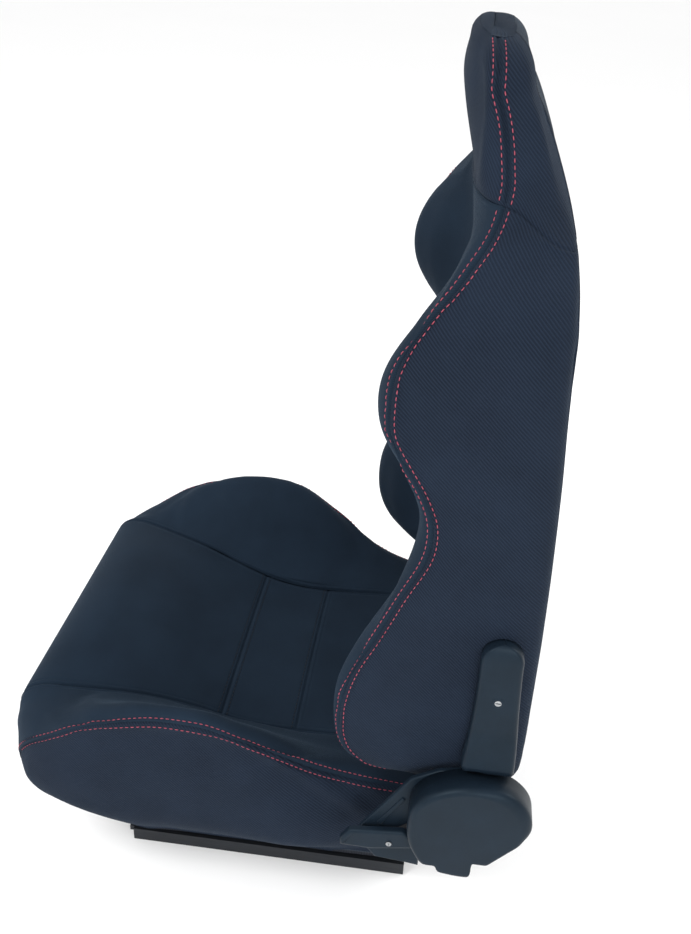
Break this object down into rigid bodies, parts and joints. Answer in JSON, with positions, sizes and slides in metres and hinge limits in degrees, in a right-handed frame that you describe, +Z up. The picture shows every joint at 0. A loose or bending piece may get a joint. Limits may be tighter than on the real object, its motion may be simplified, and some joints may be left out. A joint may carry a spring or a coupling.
{
  "type": "racing seat",
  "caption": "Reclining sports bucket seat with side bolsters, one-piece high back, side recline lever and sliding floor rails.",
  "frame": {"origin": "centre of the four-bolt mounting pattern, on the underside of the lower rails", "axes": "+Z up, -Y towards the front of the seat, +X to the occupant's left, where the recline lever is"},
  "size_m": [0.57, 0.5369, 0.861],
  "materials": {
    "seat_knit": "soft knitted cloth with a fine dull nap",
    "side_weave": "diagonal twill cloth",
    "rear_cloth": "plain woven backing cloth",
    "black_plastic": "satin moulded plastic with a fine grain",
    "screw_silver": "bright zinc plated",
    "spring_wire": "oiled spring steel",
    "zinc_steel": "zinc plated steel",
    "rail_steel": "black electrophoretic coat, worn bright on the sliding edges",
    "black_frame": "black powder coat"
  },
  "bodies": {
    "floor_rails": {"lower_rail_left": "rail_steel", "lower_rail_right": "rail_steel"},
    "roller_cages": {"roller_cage_left": "zinc_steel", "roller_cage_right": "zinc_steel"},
    "seat_base": {"upper_rail_left": "rail_steel", "upper_rail_right": "rail_steel", "base_side_left": "black_frame", "base_side_right": "black_frame", "front_cross_tube": "black_frame", "rear_cross_tube": "black_frame", "pan_springs": "spring_wire", "spring_clips": "black_frame", "base_bolts": "zinc_steel", "recliner_base_left": "black_frame", "recliner_base_right": "black_frame", "recline_bush_left": "zinc_steel", "recline_bush_right": "zinc_steel", "lever_spring_left": "spring_wire", "lever_spring_right": "spring_wire", "recliner_cover_left": "black_plastic", "recliner_cover_right": "black_plastic", "recliner_shroud_left": "black_plastic", "recliner_shroud_right": "black_plastic", "pawl_pins": "zinc_steel", "release_brackets": "black_frame", "cushion_centre_pad": "seat_knit", "cushion_bolster_left": "side_weave", "cushion_bolster_right": "side_weave"},
    "recline_lever": {"recline_link_rod": "zinc_steel", "recline_lever_arm": "black_frame", "recline_handle": "black_plastic", "handle_screw": "screw_silver", "release_cam_right": "black_frame"},
    "pawl_left": {"locking_pawl_left": "zinc_steel"},
    "pawl_right": {"locking_pawl_right": "zinc_steel"},
    "slide_release": {"slide_release_bar": "black_frame", "slide_latch_left": "zinc_steel", "slide_latch_right": "zinc_steel"},
    "backrest": {"back_side_tube_left": "black_frame", "back_side_tube_right": "black_frame", "head_hoop_tube": "black_frame", "back_lower_crossbar": "black_frame", "back_upper_crossbar": "black_frame", "back_springs": "spring_wire", "back_spring_clips": "black_frame", "recliner_arm_left": "black_frame", "recliner_arm_right": "black_frame", "arm_cover_left": "black_plastic", "arm_cover_right": "black_plastic", "arm_cover_screws": "screw_silver", "arm_bolts": "zinc_steel", "arm_spacers": "zinc_steel", "back_centre_pad": "seat_knit", "back_bolster_left": "side_weave", "back_bolster_right": "side_weave", "head_pad": "side_weave", "back_rear_panel": "rear_cloth"}
  },
  "joints": [
    {"name": "rail_slide", "type": "slide", "parent": "floor_rails", "child": "seat_base", "axis": [0, -1, 0], "range_m": [-0.08, 0.08]},
    {"name": "cage_slide", "type": "slide", "parent": "floor_rails", "child": "roller_cages", "axis": [0, -1, 0], "range_m": [-0.04, 0.04]},
    {"name": "recline", "type": "hinge", "parent": "seat_base", "child": "backrest", "pos_m": [0, 0.207, 0.183], "axis": [-1, 0, 0], "range_deg": [-15, 60]},
    {"name": "lever_lift", "type": "hinge", "parent": "seat_base", "child": "recline_lever", "pos_m": [0, 0.207, 0.183], "axis": [-1, 0, 0], "range_deg": [0, 25], "stiffness_Nm_per_rad": 1.5, "springref_deg": -17.19},
    {"name": "pawl_left_release", "type": "hinge", "parent": "seat_base", "child": "pawl_left", "pos_m": [0.248, 0.238, 0.15], "axis": [1, 0, 0], "range_deg": [0, 10]},
    {"name": "pawl_right_release", "type": "hinge", "parent": "seat_base", "child": "pawl_right", "pos_m": [-0.248, 0.238, 0.15], "axis": [1, 0, 0], "range_deg": [0, 10]},
    {"name": "slide_unlock", "type": "hinge", "parent": "seat_base", "child": "slide_release", "pos_m": [0, -0.03, 0.046], "axis": [-1, 0, 0], "range_deg": [0, 9], "stiffness_Nm_per_rad": 8, "springref_deg": -11.46}
  ],
  "couplings": [
    {"joint": "cage_slide", "follows": "rail_slide", "ratio": 0.5},
    {"joint": "pawl_left_release", "follows": "lever_lift", "ratio": 0.4},
    {"joint": "pawl_right_release", "follows": "lever_lift", "ratio": 0.4}
  ]
}
